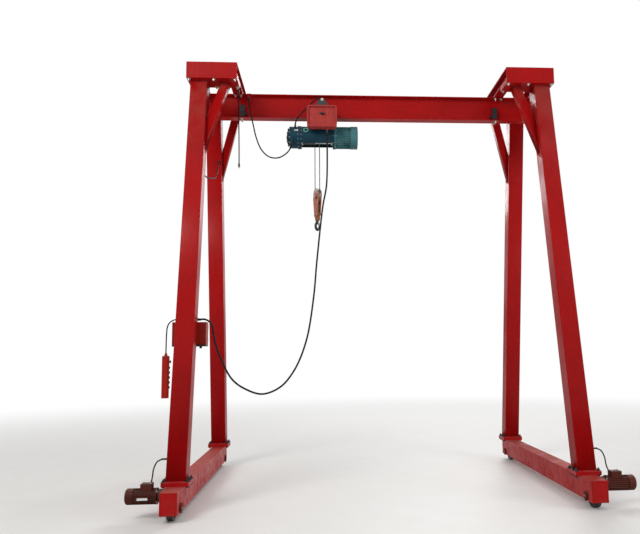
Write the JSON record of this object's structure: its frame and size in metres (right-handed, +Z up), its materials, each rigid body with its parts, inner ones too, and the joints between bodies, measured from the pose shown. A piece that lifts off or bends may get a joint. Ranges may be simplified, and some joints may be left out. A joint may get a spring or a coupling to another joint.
{
  "type": "gantry crane",
  "caption": "Travelling gantry crane: a girder between wheeled A-frames carries an electric rope hoist on a trolley, with a cabinet and a hanging push-button station.",
  "frame": {"origin": "on the floor, in the middle of the overall size (bottom centre of the bounding box)", "axes": "+X along the girder to the right as seen from the driven end, +Y along the ground beams towards the undriven end, +Z up"},
  "size_m": [4.86, 3.23, 4.815],
  "materials": {
    "red_paint": "glossy brushed-on enamel, slightly dusty",
    "maroon_paint": "dark red machine enamel with dust",
    "gear_paint": "dark green-grey machine enamel",
    "teal_paint": "hammered teal enamel",
    "orange_paint": "orange-red enamel",
    "wheel_iron": "dark cast iron with a worn tread",
    "bare_steel": "oiled bare steel",
    "dark_steel": "black oxide, oiled",
    "rubber_stops": "black rubber on painted angles",
    "cable_rubber": "matt black sheath",
    "red_plastic": "moulded red shell"
  },
  "bodies": {
    "gantry": {"girder": "red_paint", "end_stops": "rubber_stops", "cable_bracket": "red_paint", "top_rails_left": "red_paint", "top_rails_right": "red_paint", "top_frame_ends_left": "red_paint", "top_frame_ends_right": "red_paint", "head_plates_left": "red_paint", "head_plates_right": "red_paint", "leg_front_left": "red_paint", "leg_front_right": "red_paint", "leg_rear_left": "red_paint", "leg_rear_right": "red_paint", "knee_braces_left": "red_paint", "knee_braces_right": "red_paint", "foot_plates_left": "red_paint", "foot_plates_right": "red_paint", "ground_beam_left": "red_paint", "ground_beam_right": "red_paint", "bearing_caps_left": "maroon_paint", "bearing_caps_right": "maroon_paint", "drive_gearbox_left": "gear_paint", "drive_gearbox_right": "gear_paint", "drive_motor_left": "maroon_paint", "drive_motor_right": "maroon_paint", "control_cabinet": "maroon_paint", "pendant": "red_plastic", "pendant_cable": "cable_rubber", "control_cable": "cable_rubber", "leg_cable": "cable_rubber", "leg_glands": "cable_rubber", "hanging_cable": "cable_rubber", "drive_cable_left": "cable_rubber", "drive_cable_right": "cable_rubber"},
    "trolley": {"trolley_plates": "maroon_paint", "trolley_wheels": "bare_steel", "suspension_pins": "bare_steel", "drum_casing": "teal_paint", "rope_drum": "bare_steel", "hoist_gearbox": "teal_paint", "hoist_motor": "teal_paint", "control_box": "orange_paint", "box_hanger": "dark_steel", "feed_cable": "cable_rubber", "hoist_cable": "cable_rubber"},
    "hook_block": {"hook_block": "orange_paint", "sheave": "bare_steel", "ropes": "bare_steel"},
    "hook": {"hook": "dark_steel"},
    "wheel_front_left": {"wheel_front_left": "wheel_iron"},
    "wheel_front_right": {"wheel_front_right": "wheel_iron"},
    "wheel_rear_left": {"wheel_rear_left": "wheel_iron"},
    "wheel_rear_right": {"wheel_rear_right": "wheel_iron"}
  },
  "joints": [
    {"name": "trolley_travel", "type": "slide", "parent": "gantry", "child": "trolley", "axis": [1, 0, 0], "range_m": [-0.765, 1.96]},
    {"name": "hook_lift", "type": "slide", "parent": "trolley", "child": "hook_block", "axis": [0, 0, 1], "range_m": [-2.8, 0.4], "deforming": ["ropes"]},
    {"name": "hook_swivel", "type": "hinge", "parent": "hook_block", "child": "hook", "pos_m": [-0.66, 0.125, 3.16], "axis": [0, 0, 1], "continuous": true},
    {"name": "wheel_front_left_turn", "type": "hinge", "parent": "gantry", "child": "wheel_front_left", "pos_m": [-2, -1.465, 0.11], "axis": [1, 0, 0], "continuous": true},
    {"name": "wheel_front_right_turn", "type": "hinge", "parent": "gantry", "child": "wheel_front_right", "pos_m": [2, -1.465, 0.11], "axis": [1, 0, 0], "continuous": true},
    {"name": "wheel_rear_left_turn", "type": "hinge", "parent": "gantry", "child": "wheel_rear_left", "pos_m": [-2, 1.465, 0.11], "axis": [1, 0, 0], "continuous": true},
    {"name": "wheel_rear_right_turn", "type": "hinge", "parent": "gantry", "child": "wheel_rear_right", "pos_m": [2, 1.465, 0.11], "axis": [1, 0, 0], "continuous": true}
  ]
}
